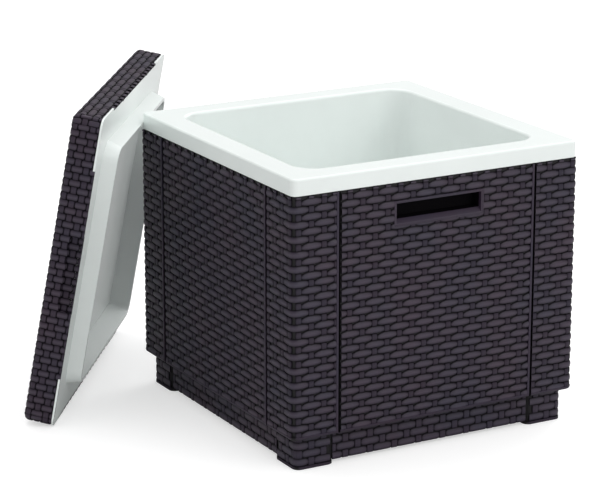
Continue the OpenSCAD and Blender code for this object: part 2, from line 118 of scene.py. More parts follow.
class BaseSizes(bpy.types.PropertyGroup):
    """Sizes of the base that the weave covers"""

    skirt: length_prop("Skirt", "Distance from the middle to the skirt's wall", 0.197)
    foot: length_prop("Foot", "Distance from the middle to a foot's wall", 0.1995)
    foot_width: length_prop(
        "Foot width", "Width of the weave on one face of a foot, to its corner", 0.048)
    foot_corner: length_prop(
        "Foot corner", "Radius of a foot's outer corner over the crests", 0.009)
    relief: length_prop("Relief", "Height of the crests over the base's walls", 0.002)
    row: length_prop("Row pitch", "Distance from one strand to the next on the base", 0.01075)
    first_row: length_prop("First row", "Height of the lowest row of strands", 0.0092)
    low: length_prop("Weave from", "Height of the skirt's lower edge", 0.0044)
    high: length_prop("Weave to", "Height of the weave's upper edge on the base", 0.0425)


class LidSizes(bpy.types.PropertyGroup):
    """Sizes and place of the leaning lid"""

    half: length_prop("Half width", "Distance from the lid's middle to its crests", 0.212)
    height: length_prop("Height", "Height of the lid's skirt", 0.041)
    corner: length_prop("Corner radius", "Corner radius of the lid seen from above", 0.012)
    edge: length_prop("Edge radius", "Radius along the lid's outer edge", 0.008)
    relief: length_prop("Relief", "Height of the crests over the lid's walls", 0.0022)
    wall: length_prop("Wall", "Thickness of the cover", 0.0025)
    grip_length: length_prop("Grip length", "Length of the hand grips in the skirt", 0.101)
    grip_height: length_prop("Grip height", "Height of the hand grips in the skirt", 0.018)
    grip_depth: length_prop("Grip depth", "Depth of the hand grips in the skirt", 0.0025)
    lean: angle_prop("Lean", "Angle between the lid and the vertical", radians(10.5))
    turn: angle_prop("Turn", "Turn of the lid away from the box's left side", radians(37))
    foot: FloatVectorProperty(
        name="Foot", description="Middle of the lid's lower outer edge",
        default=(-0.30806, 0.286931, 0.041 * sin(radians(10.5))),
        unit="LENGTH", subtype="TRANSLATION", precision=5)


class Finishes(bpy.types.PropertyGroup):
    """Colours of the plastics and the metal"""

    brown: colour_prop("Brown", "Warm tone of the woven plastic", (0.0343, 0.0194, 0.0374))
    slate: colour_prop("Slate", "Cool tone of the woven plastic", (0.0265, 0.0203, 0.0398))
    white: colour_prop("White", "Colour of the tub and the tray", (0.85, 0.90, 0.88))
    grey: colour_prop("Grey", "Colour of the drain's spout and nut", (0.33, 0.35, 0.36))
    rubber: colour_prop("Rubber", "Colour of the seals", (0.02, 0.02, 0.021))
    steel: colour_prop("Steel", "Colour of the screws", (0.56, 0.56, 0.58))


class StageSettings(bpy.types.PropertyGroup):
    """Camera, lamps and floor"""

    eye: FloatVectorProperty(
        name="Eye", description="Place of the camera",
        default=(-1.7034, -2.8978, 1.1761), unit="LENGTH", subtype="TRANSLATION")
    pitch: angle_prop("Pitch", "How far the camera looks down", 0.278)
    yaw: angle_prop("Yaw", "Turn of the camera about the vertical", -0.51)
    lens: FloatProperty(
        name="Lens", description="Focal length in millimetres", default=157.25, min=20, max=400)
    key: power_prop("Key", "Power of the lamp in front, to the right", 23.5)
    back: power_prop("Back", "Power of the lamp behind, to the right", 14)
    top: power_prop("Top", "Power of the lamp overhead", 11)
    ambient: strength_prop("Ambient", "Strength of the light from all round", 0.85)
    gloss: strength_prop("Gloss", "Strength of the room where it is mirrored in the plastics", 0.35)


# Work on meshes


def alone(obj):
    """Makes one object the only selected one, and the active one."""
    bpy.ops.object.select_all(action="DESELECT")
    obj.select_set(True)
    bpy.context.view_layer.objects.active = obj


def edit(obj):
    """Starts to edit an object's mesh by its vertices."""
    alone(obj)
    bpy.ops.object.mode_set(mode="EDIT")
    bpy.context.tool_settings.mesh_select_mode = (True, False, False)


def done():
    """Ends the editing of a mesh."""
    bpy.ops.object.mode_set(mode="OBJECT")


def select(kind, test):
    """Selects the vertices, edges or faces of the edited mesh that pass a test."""
    bpy.ops.mesh.select_all(action="DESELECT")
    mesh = bpy.context.object.data
    shape = bmesh.from_edit_mesh(mesh)
    for part in getattr(shape, kind):
        if test(part):
            part.select_set(True)
    if kind == "verts":
        shape.select_flush(True)
    bmesh.update_edit_mesh(mesh)


def pick(test):
    """Selects the vertices whose place passes a test."""
    select("verts", lambda vert: test(vert.co))


def pick_edges(test):
    """Selects the edges whose two ends pass a test."""
    select("edges", lambda edge: test(edge.verts[0].co, edge.verts[1].co))


def pick_faces(test):
    """Selects the faces whose middle and normal pass a test."""
    select("faces", lambda face: test(face.calc_center_median(), face.normal))


def cut(place, normal):
    """Cuts the edited mesh along a plane and keeps both sides."""
    bpy.ops.mesh.select_all(action="SELECT")
    bpy.ops.mesh.bisect(plane_co=place, plane_no=normal)


def trim(obj, place, normal):
    """Cuts off what lies beyond a plane and closes the cut."""
    edit(obj)
    bpy.ops.mesh.select_all(action="SELECT")
    bpy.ops.mesh.bisect(plane_co=place, plane_no=normal, clear_outer=True, use_fill=True)
    done()


def keep_between(obj, axis, low, high):
    """Cuts off what lies outside two planes across an axis."""
    for at, way in ((low, -1), (high, 1)):
        place, normal = Vector(), Vector()
        place[axis], normal[axis] = at, way
        trim(obj, place, normal)


def move(test, by):
    """Moves the vertices that pass a test."""
    pick(test)
    bpy.ops.transform.translate(value=by)


def squeeze(test, by):
    """Scales the vertices that pass a test towards the object's origin."""
    pick(test)
    bpy.ops.transform.resize(value=by, center_override=(0, 0, 0))


def apply(obj, kind, **settings):
    """Adds a modifier with these settings and applies it."""
    alone(obj)
    modifier = obj.modifiers.new(kind.title(), kind)
    for key, value in settings.items():
        setattr(modifier, key, value)
    bpy.ops.object.modifier_apply(modifier=modifier.name)


def block(name, low, high):
    """Adds a block between two corners, with its object at the origin."""
    low, high = Vector(low), Vector(high)
    bpy.ops.object.select_all(action="DESELECT")
    bpy.ops.mesh.primitive_cube_add(size=1, location=(0, 0, 0))
    obj = bpy.context.object
    obj.name = obj.data.name = name
    bpy.ops.object.mode_set(mode="EDIT")
    bpy.ops.transform.resize(value=high - low, center_override=(0, 0, 0))
    bpy.ops.transform.translate(value=(high + low) / 2)
    bpy.ops.object.mode_set(mode="OBJECT")
    return obj


def copy_of(obj, name, by=(0, 0, 0)):
    """Copies an object with a mesh of its own and moves the copy's mesh."""
    alone(obj)
    bpy.ops.object.duplicate()
    twin = bpy.context.object
    twin.name = twin.data.name = name
    if Vector(by).length > 0:
        twin.location = by
        bpy.ops.object.transform_apply(location=True, rotation=False, scale=False)
    return twin


def join(name, *parts):
    """Joins objects into the first one."""
    alone(parts[0])
    for part in parts[1:]:
        part.select_set(True)
    bpy.ops.object.join()
    parts[0].name = parts[0].data.name = name
    return parts[0]


def drop(*parts):
    """Removes objects that were only patterns for others."""
    for part in parts:
        bpy.data.objects.remove(part)


def set_in_place(obj, matrix):
    """Moves an object by a matrix, and leaves its place in its mesh."""
    alone(obj)
    obj.matrix_world = matrix
    bpy.ops.object.transform_apply(location=True, rotation=True, scale=True)


def at_side(turn, half):
    """The place of one side of the box: its face is drawn on the plane of X and Z."""
    return Matrix.Rotation(radians(turn), 4, "Z") @ Matrix.Translation((0, -half, 0))


def at_corner(turn, corner, radius):
    """The place of one corner: its strip was bent round x = 0 at this radius."""
    return (
        Matrix.Rotation(radians(turn), 4, "Z") @ Matrix.Translation((-corner, -corner, 0))
        @ Matrix.Rotation(radians(-45), 4, "Z") @ Matrix.Translation((0, -radius, 0)))


def smooth(obj, angle=40):
    """Shades an object smoothly, with crisp edges."""
    alone(obj)
    bpy.ops.object.shade_smooth_by_angle(angle=radians(angle))


def open_out(obj, low, high, axis=Y):
    """Takes the weave out of a rectangle and closes the cut ends. The axis is the open one."""
    edit(obj)
    flat = [i for i in range(3) if i != axis]
    for i in flat:
        normal = Vector((0, 0, 0))
        normal[i] = 1
        cut(low, normal)
        cut(high, normal)
    pick_faces(lambda at, normal: all(low[i] < at[i] < high[i] for i in flat))
    bpy.ops.mesh.delete(type="FACE")
    bpy.ops.mesh.select_all(action="SELECT")
    bpy.ops.mesh.fill_holes(sides=0)
    done()


# The weave: strands along X that pass over and under stakes along Z.
# The crests lie on the plane y = 0 and the wall behind them at y = relief.

CURL = 0.0028  # height of the curls at the casing's upper edge
CASING_TAPER = 0.0096  # length over which a strand of the casing narrows at each end
FULL_RELIEF = 2.5  # the relief, in millimetres, that the crowns below are drawn for


def strand(name, length, width, relief, taper, finish, ends=(0.60, 0.84), dip=0.0009):
    """One strand: crowned, with a slim left end that dips and a blunt right one."""
    half, rise, end = length / 2, width / 2, min(0.0009, taper / 5)
    step = relief / FULL_RELIEF
    obj = block(name, (-half, 0, -rise), (half, relief, rise))
    edit(obj)
    for x in (half - taper, half - taper / 2, half - end):
        cut((x, 0, 0), (1, 0, 0))
        cut((-x, 0, 0), (1, 0, 0))
    for z in (-0.6 * rise, 0, 0.6 * rise):
        cut((0, 0, z), (0, 0, 1))
    pick_faces(lambda at, normal: normal.y > 0.9)
    bpy.ops.mesh.dissolve_faces()
    front = relief / 2
    move(lambda co: co.y < front and abs(co.z) > 0.1 * rise, (0, 0.46 * step, 0))
    move(lambda co: co.y < front and abs(co.z) > 0.9 * rise, (0, 0.94 * step, 0))
    front = relief * 0.9
    move(lambda co: co.y < front and abs(co.x) > half - taper * 0.75, (0, 0.12 * step, 0))
    move(lambda co: co.y < front and abs(co.x) > half - taper / 4, (0, 0.30 * step, 0))
    move(lambda co: co.y < front and abs(co.x) > half - end / 2, (0, 0.45 * step, 0))
    for side, share, drop_by in ((-1, ends[0], dip), (1, ends[1], 0)):
        for low, high, part in (
            (half - taper * 0.75, half - taper / 4, 0.36), (half - taper / 4, half - end / 2, 0.78),
            (half - end / 2, half + 1, 1),
        ):
            here = lambda co: low < co.x * side < high
            squeeze(here, (1, 1, 1 - part * (1 - share)))
            move(here, (0, 0, -drop_by * part))
    done()
    mark_depth(obj, relief)
    obj.data.materials.append(finish)
    return obj


def stake(name, width, height, relief, sunk, finish):
    """One stake between two strands: a rounded bar whose ends turn in to the wall."""
    half, rise = width / 2, height / 2
    obj = block(name, (-half, sunk, -rise), (half, relief, rise))
    edit(obj)
    for x in (-0.66 * half, 0.66 * half):
        cut((x, 0, 0), (1, 0, 0))
    for z in (-0.74 * rise, 0, 0.74 * rise):
        cut((0, 0, z), (0, 0, 1))
    pick_faces(lambda at, normal: normal.y > 0.9)
    bpy.ops.mesh.dissolve_faces()
    step = relief / FULL_RELIEF
    front = (relief + sunk) / 2
    move(lambda co: co.y < front and abs(co.x) > 0.9 * half, (0, 0.7 * step, 0))
    move(lambda co: co.y < relief - 1e-5 and abs(co.z) > 0.5 * rise, (0, 0.25 * step, 0))
    move(lambda co: co.y < relief - 1e-5 and abs(co.z) > 0.9 * rise, (0, 0.45 * step, 0))
    done()
    mark_depth(obj, relief)
    obj.data.materials.append(finish)
    return obj


def mark_depth(obj, relief):
    """Notes for each vertex how deep it lies, from 0 at the crests to 1 at the wall."""
    depth = obj.data.attributes.new("depth", "FLOAT", "POINT")
    for vert, place in zip(obj.data.vertices, depth.data):
        place.value = vert.co.y / relief


def weave(name, strands, stakes):
    """Joins copies of strands and stakes, each given as a pattern and its place in X and Z."""
    parts = [copy_of(p, name, (x, 0, z)) for p, x, z in strands + stakes]
    return join(name, *parts)


def repeat(obj, across, count_across, up, count_up):
    """Repeats a pair of rows along X and Z."""
    for step, count in (((across, 0, 0), count_across), ((0, 0, up), count_up)):
        if count > 1:
            apply(
                obj, "ARRAY", count=count, use_relative_offset=False,
                use_constant_offset=True, constant_offset_displace=step)


def bend(obj, radius):
    """Bends a mesh along X round a quarter circle at x = 0, away from its crests."""
    arc = radius * pi / 4
    edit(obj)
    for share in (-1, -0.667, -0.333, 0, 0.333, 0.667, 1):
        cut((share * arc, 0, 0), (1, 0, 0))
    done()
    xs = [v.co.x for v in obj.data.vertices]
    low, size = min(xs), max(xs) - min(xs)
    start, end = max(-arc, low), min(arc, low + size)
    apply(
        obj, "SIMPLE_DEFORM", deform_method="BEND", deform_axis="Z",
        angle=pi / 2 * (end - start) / (2 * arc),
        limits=((start - low) / size, (end - low) / size))


# Finishes


def plastic(name, tones, roughness, grain_size, sheen, blotch, bump, grain=(1, 1, 1)):
    """Moulded plastic: two tones in soft blotches, uneven gloss and a fine grain."""
    finish = bpy.data.materials.new(name)
    finish.use_nodes = True
    nodes, links = finish.node_tree.nodes, finish.node_tree.links
    shader = nodes["Principled BSDF"]
    shader.inputs["Specular IOR Level"].default_value = sheen
    place = nodes.new("ShaderNodeTexCoord")
    cloud = nodes.new("ShaderNodeTexNoise")
    cloud.inputs["Scale"].default_value = blotch
    cloud.inputs["Detail"].default_value = 5
    cloud.inputs["Roughness"].default_value = 0.62
    links.new(place.outputs["Object"], cloud.inputs["Vector"])
    tone = nodes.new("ShaderNodeValToRGB")
    for at, colour in zip(tone.color_ramp.elements, tones):
        at.color = (*colour, 1)
    tone.color_ramp.elements[0].position = 0.36
    tone.color_ramp.elements[1].position = 0.64
    links.new(cloud.outputs["Fac"], tone.inputs["Fac"])
    links.new(tone.outputs["Color"], shader.inputs["Base Color"])
    gloss = nodes.new("ShaderNodeMapRange")
    gloss.inputs["To Min"].default_value = roughness[0]
    gloss.inputs["To Max"].default_value = roughness[1]
    links.new(cloud.outputs["Fac"], gloss.inputs["Value"])
    links.new(gloss.outputs["Result"], shader.inputs["Roughness"])
    stretch = nodes.new("ShaderNodeMapping")
    stretch.inputs["Scale"].default_value = grain
    links.new(place.outputs["Object"], stretch.inputs["Vector"])
    fibre = nodes.new("ShaderNodeTexNoise")
    fibre.inputs["Scale"].default_value = grain_size
    fibre.inputs["Detail"].default_value = 3
    links.new(stretch.outputs["Vector"], fibre.inputs["Vector"])
    relief = nodes.new("ShaderNodeBump")
    relief.inputs["Strength"].default_value = bump
    relief.inputs["Distance"].default_value = 0.0006
    links.new(fibre.outputs["Fac"], relief.inputs["Height"])
    links.new(relief.outputs["Normal"], shader.inputs["Normal"])
    return finish


def darker(colour, share):
    """A colour at a share of its brightness."""
    return tuple(part * share for part in colour)


def scale_tone(finish, level):
    """Scales a finish's colour by the result of another of its nodes."""
    nodes, links = finish.node_tree.nodes, finish.node_tree.links
    base = nodes["Principled BSDF"].inputs["Base Color"]
    shaded = nodes.new("ShaderNodeVectorMath")
    shaded.operation = "SCALE"
    links.new(base.links[0].from_socket, shaded.inputs[0])
    links.new(level.outputs["Result"], shaded.inputs["Scale"])
    links.new(shaded.outputs["Vector"], base)


def paint_recess_shade(finish, low, high, share):
    """Paints shade into a finish where it lies deeper in the box's sides than the crests of the
    weave.
    """
    nodes, links = finish.node_tree.nodes, finish.node_tree.links
    place = nodes.new("ShaderNodeTexCoord")
    bare = nodes.new("ShaderNodeVectorMath")
    bare.operation = "ABSOLUTE"
    links.new(place.outputs["Object"], bare.inputs[0])
    axes = nodes.new("ShaderNodeSeparateXYZ")
    links.new(bare.outputs["Vector"], axes.inputs["Vector"])
    outer = nodes.new("ShaderNodeMath")
    outer.operation = "MAXIMUM"
    links.new(axes.outputs["X"], outer.inputs[0])
    links.new(axes.outputs["Y"], outer.inputs[1])
    level = nodes.new("ShaderNodeMapRange")
    level.inputs["From Min"].default_value = low
    level.inputs["From Max"].default_value = high
    level.inputs["To Min"].default_value = share
    level.inputs["To Max"].default_value = 1
    links.new(outer.outputs["Value"], level.inputs["Value"])
    scale_tone(finish, level)


def paint_gap_shade(finish, share):
    """Paints shade into a woven finish towards the bottom of the gaps between strands and stakes,
    and a painted highlight and sheen on the crests.
    """
    nodes, links = finish.node_tree.nodes, finish.node_tree.links
    depth = nodes.new("ShaderNodeAttribute")
    depth.attribute_name = "depth"
    level = nodes.new("ShaderNodeMapRange")
    level.inputs["From Min"].default_value = 0.02
    level.inputs["From Max"].default_value = 0.68
    level.inputs["To Min"].default_value = 1.2
    level.inputs["To Max"].default_value = share
    links.new(depth.outputs["Fac"], level.inputs["Value"])
    scale_tone(finish, level)
    shader = nodes["Principled BSDF"]
    shine = nodes.new("ShaderNodeMath")
    shine.operation = "MULTIPLY"
    shine.inputs[1].default_value = shader.inputs["Specular IOR Level"].default_value
    links.new(level.outputs["Result"], shine.inputs[0])
    links.new(shine.outputs["Value"], shader.inputs["Specular IOR Level"])


def finish_named(name):
    """A finish that was made before."""
    return bpy.data.materials[name]


class COOLER_OT_finishes(bpy.types.Operator):
    """Makes the plastics and the metal, and puts them on the moulded parts"""

    bl_idname = "cooler.finishes"
    bl_label = "Finishes"

    def execute(self, context):
        tone = context.scene.cooler_finishes
        brown, slate, white = tuple(tone.brown), tuple(tone.slate), tuple(tone.white)
        over = plastic(
            "Strand plastic", (brown, slate), (0.38, 0.55), 1.0, 0.55, 14, 0.5, (60, 60, 620))
        under = plastic(
            "Stake plastic", (darker(brown, 0.9), darker(slate, 0.95)),
            (0.42, 0.58), 1.0, 0.42, 14, 0.5, (620, 620, 60))
        # Painted shade in the gaps of the weave, painted highlight and sheen on its crests.
        paint_gap_shade(over, 0.04)
        paint_gap_shade(under, 0.04)
        casing = plastic("Casing plastic", (darker(brown, 0.9), darker(slate, 0.95)),
                         (0.42, 0.58), 900, 0.4, 10, 0.25)
        # Painted shade on the casing's wall where it lies deeper than the weave's crests.
        paint_recess_shade(casing, 0.2099, 0.2115, 0.08)
        base = plastic("Base plastic", (darker(brown, 0.8), darker(slate, 0.85)),
                       (0.45, 0.62), 900, 0.35, 10, 0.25)
        # Painted shade on the base's walls behind its weave.
        paint_recess_shade(base, 0.1997, 0.2012, 0.1)
        # Nearly black: painted shade where the lid's wall shows between its strands.
        plastic("Cover plastic", (darker(brown, 0.16), darker(slate, 0.18)),
                (0.5, 0.66), 900, 0.12, 10, 0.25)
        plastic("Frame plastic", (brown, slate), (0.36, 0.5), 900, 0.5, 10, 0.25)
        # Near black: painted shade for the back of the hand-hole pockets.
        plastic("Pocket plastic", (darker(brown, 0.06), darker(slate, 0.06)),
                (0.7, 0.8), 900, 0.1, 10, 0.25)
        plastic("Tub plastic", (white, darker(white, 0.965)),
                (0.20, 0.30), 420, 0.5, 7, 0.05)
        plastic("Drain plastic", (tuple(tone.grey), darker(tone.grey, 0.85)),
                (0.35, 0.5), 700, 0.4, 30, 0.2)
        plastic("Seal rubber", (tuple(tone.rubber), darker(tone.rubber, 1.5)),
                (0.6, 0.75), 1200, 0.3, 40, 0.4)
        steel = plastic("Screw steel", (tuple(tone.steel), darker(tone.steel, 0.8)),
                        (0.28, 0.42), 1500, 0.5, 60, 0.3)
        steel.node_tree.nodes["Principled BSDF"].inputs["Metallic"].default_value = 1
        wears = {
            "casing": "Casing plastic", "liner": "Tub plastic", "drain": "Drain plastic",
            "seal": "Seal rubber", "screws": "Screw steel"}
        for name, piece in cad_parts.items():
            slot = piece.material_slots[0]
            wear = "Base plastic" if name == "base" else wears[slot.material.name.split(".")[0]]
            slot.material = finish_named(wear)
        return {"FINISHED"}


# Pieces


def casing_patterns(sizes):
    """The strand and the stake that the casing's weave repeats."""
    plain = strand(
        "strand", sizes.strand, sizes.strand_width, sizes.relief, CASING_TAPER,
        finish_named("Strand plastic"))
    bar = stake(
        "stake", sizes.stake_width, sizes.stake_height, sizes.relief, 0.0005,
        finish_named("Stake plastic"))
    return plain, bar


def curl(sizes):
    """The end of a stake where it turns over the casing's upper edge."""
    return stake("curl", 0.0078, CURL, sizes.relief, 0.0002, finish_named("Strand plastic"))


def plain_weave(plain, bar, across, up):
    """One pair of rows in which every strand passes over one stake and under the next."""
    return weave("field", [(plain, 0, 0), (plain, across, up)], [(bar, across, 0), (bar, 0, up)])


class COOLER_OT_panel_weave(bpy.types.Operator):
    """Models the weave of a side panel once and sets it on the four sides"""

    bl_idname = "cooler.panel_weave"
    bl_label = "Panel weave"

    def execute(self, context):
        sizes, casing = context.scene.cooler_weave, context.scene.cooler_casing
        plain, bar = casing_patterns(sizes)
        across, up = sizes.column, sizes.row
        field = plain_weave(plain, bar, across, up)
        set_in_place(field, Matrix.Translation((sizes.shift - 8 * across, 0, casing.first_row)))
        repeat(field, 2 * across, 9, 2 * up, casing.pairs)
        trim(field, (0, 0, casing.high - CURL), (0, 0, 1))
        curls = curl(sizes)
        set_in_place(
            curls, Matrix.Translation((sizes.shift - 8 * across, 0, casing.high - CURL / 2)))
        repeat(curls, across, 17, 0, 1)
        field = join("field", field, curls)
        groove = 0.001
        left, right = -casing.panel / 2 + groove, casing.panel / 2 - casing.strip
        keep_between(field, X, left, right)
        trim(field, (0, 0, casing.low), (0, 0, -1))
        for side, turn in SIDES.items():
            piece = copy_of(field, f"{side}_panel_weave")
            if side in ("front", "back"):
                reach = casing.grip_width / 2
                open_out(piece, (-reach, 0, casing.grip_low), (reach, 0, casing.grip_high))
            set_in_place(piece, at_side(turn, casing.half))
            smooth(piece)
            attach(piece, "box")
        drop(plain, bar, field)
        return {"FINISHED"}


class COOLER_OT_grips(bpy.types.Operator):
    """Models the hand hole once, with its raised frame, its sloped sill and its deep pocket"""

    bl_idname = "cooler.grips"
    bl_label = "Hand holes"

    def execute(self, context):
        casing = context.scene.cooler_casing
        reach, low, high = casing.grip_width / 2, casing.grip_low, casing.grip_high
        front, sill, near = 0.0001, 0.006, 1e-5
        grip = block("grip", (-reach, front, low), (reach, 0.0025, high))
        edit(grip)
        pick_faces(lambda at, normal: normal.y > 0.9)
        bpy.ops.mesh.delete(type="FACE")
        pick_faces(lambda at, normal: normal.y < -0.9)
        for width, depth in (
            (0.0004, 0), (0.0010, 0), (0.0005, -0.0009), (0.0013, 0), (0.0003, -0.0003),
        ):
            bpy.ops.mesh.inset(thickness=width, depth=depth)
        bpy.ops.mesh.extrude_region_move(TRANSFORM_OT_translate={"value": (0, 0.0055, 0)})
        move(lambda co: co.y > sill and co.z < (low + high) / 2, (0, 0, 0.0052))
        pick_faces(lambda at, normal: normal.y < -0.9 and at.y > sill)
        bpy.ops.mesh.extrude_region_move(TRANSFORM_OT_translate={"value": (0, 0.0145, 0)})
        move(
            lambda co: co.y < front + near and (
                abs(co.x) > reach - near or co.z < low + near or co.z > high - near),
            (0, 0.0006, 0))
        done()
        apply(grip, "BEVEL", width=0.0003, segments=2, limit_method="ANGLE",
              angle_limit=radians(25))
        apply(grip, "SOLIDIFY", thickness=0.0010, offset=-1)
        grip.data.materials.append(finish_named("Frame plastic"))
        grip.data.materials.append(finish_named("Pocket plastic"))
        # The faces deep in the pocket take the near-black finish, painted shade.
        edit(grip)
        pick_faces(lambda at, normal: at.y > sill + 0.0006)
        grip.active_material_index = 1
        bpy.ops.object.material_slot_assign()
        done()
        for side in ("front", "back"):
            piece = copy_of(grip, f"{side}_grip_frame")
            set_in_place(piece, at_side(SIDES[side], casing.half))
            smooth(piece, 30)
            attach(piece, "box")
            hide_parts(f"{side}_grip")
        drop(grip)
        return {"FINISHED"}


class COOLER_OT_post_weave(bpy.types.Operator):
    """Models the weave of a corner post once, bends it round the corner and sets the four"""

    bl_idname = "cooler.post_weave"
    bl_label = "Post weave"

    def execute(self, context):
        sizes, casing = context.scene.cooler_weave, context.scene.cooler_casing
        plain, bar = casing_patterns(sizes)
        wrap_length, wide_width = 0.0423, 0.0090
        wrap = strand(
            "wrap", wrap_length, sizes.strand_width, sizes.relief, CASING_TAPER,
            finish_named("Strand plastic"), (0.84, 0.84), 0)
        wide = stake(
            "wide", wide_width, sizes.stake_height, sizes.relief, 0.0005,
            finish_named("Stake plastic"))
        up, step = sizes.row, sizes.column
        inner, first = 0.00725, 0.02545
        strands, stakes = [(wrap, 0, 0)], []
        for side in (-1, 1):
            strands += [
                (plain, side * (first + step), 0), (plain, side * first, up),
                (plain, side * (first + 2 * step), up)]
            stakes += [
                (bar, side * first, 0), (bar, side * (first + 2 * step), 0),
                (wide, side * inner, up), (bar, side * (first + step), up)]
        field = weave("field", strands, stakes)
        arc = casing.corner * pi / 4
        reach = arc + casing.post - casing.corner
        keep_between(field, X, -reach, reach - casing.strip)
        bend(field, casing.corner)
        set_in_place(field, Matrix.Translation((0, 0, casing.first_row + up)))
        repeat(field, 0, 1, 2 * up, casing.pairs)
        keep_between(field, Z, casing.low, casing.high - CURL)
        end = curl(sizes)
        curls = weave("curls", [], [
            (end, side * at, 0) for side in (-1, 1)
            for at in (inner, first, first + step, first + 1.85 * step)])
        bend(curls, casing.corner)
        set_in_place(curls, Matrix.Translation((0, 0, casing.high - CURL / 2)))
        field = join("field", field, curls)
        corner = casing.half - casing.corner
        for place, turn in CORNERS.items():
            piece = copy_of(field, f"{place}_post_weave")
            set_in_place(piece, at_corner(turn, corner, casing.corner))
            smooth(piece)
            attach(piece, "box")
        drop(plain, bar, wrap, wide, end, field)
        return {"FINISHED"}


class COOLER_OT_base_weave(bpy.types.Operator):
    """Models the weave of the base's skirt and of its feet"""

    bl_idname = "cooler.base_weave"
    bl_label = "Base weave"

    def execute(self, context):
        base = context.scene.cooler_base
        across, up = context.scene.cooler_weave.column, base.row
        over, under = finish_named("Strand plastic"), finish_named("Stake plastic")
        plain = strand("strand", 0.0262, 0.0100, base.relief, 0.0060, over, (0.86, 0.90), 0.0003)
        bar = stake("stake", 0.0092, 0.0104, base.relief, 0.0002, under)
        field = plain_weave(plain, bar, across, up)
        set_in_place(field, Matrix.Translation((-8 * across, 0, base.first_row)))
        repeat(field, 2 * across, 9, 2 * up, 2)
        gap = 0.0025
        reach = base.skirt - base.foot_width - gap
        keep_between(field, X, -reach, reach)
        keep_between(field, Z, base.low, base.high)
        for side, turn in SIDES.items():
            piece = copy_of(field, f"{side}_skirt_weave")
            set_in_place(piece, at_side(turn, base.skirt + base.relief))
            smooth(piece)
            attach(piece, "box")
        drop(field)

        wrap = strand("wrap", 0.033, 0.0100, base.relief, 0.0060, over, (0.9, 0.9), 0)
        inner, first, second, sole = 0.0035, 0.0212, 0.0388, 0.0035
        strands, stakes = [(wrap, 0, 0)], []
        for side in (-1, 1):
            strands += [(plain, side * second, 0), (plain, side * first, up)]
            stakes += [(bar, side * first, 0), (bar, side * inner, up), (bar, side * second, up)]
        foot = weave("foot", strands, stakes)
        arc = base.foot_corner * pi / 4
        reach = arc + base.foot_width - base.foot_corner + base.relief
        keep_between(foot, X, -reach, reach)
        bend(foot, base.foot_corner)
        set_in_place(foot, Matrix.Translation((0, 0, base.first_row)))
        repeat(foot, 0, 1, 2 * up, 2)
        keep_between(foot, Z, sole, base.high)
        corner = base.foot + base.relief - base.foot_corner
        for place, turn in CORNERS.items():
            piece = copy_of(foot, f"{place}_foot_weave")
            set_in_place(piece, at_corner(turn, corner, base.foot_corner))
            smooth(piece)
            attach(piece, "box")
        drop(plain, bar, wrap, foot)
        return {"FINISHED"}


def lid_place(lid):
    """Where the leaning lid stands. It is drawn face down and centred on the origin."""
    return (
        Matrix.Translation(lid.foot) @ Matrix.Rotation(-lid.turn, 4, "Z")
        @ Matrix.Rotation(lid.lean, 4, "Y") @ Matrix.Rotation(pi / 2, 4, "Z")
        @ Matrix.Rotation(pi / 2, 4, "X") @ Matrix.Translation((0, lid.half, 0)))


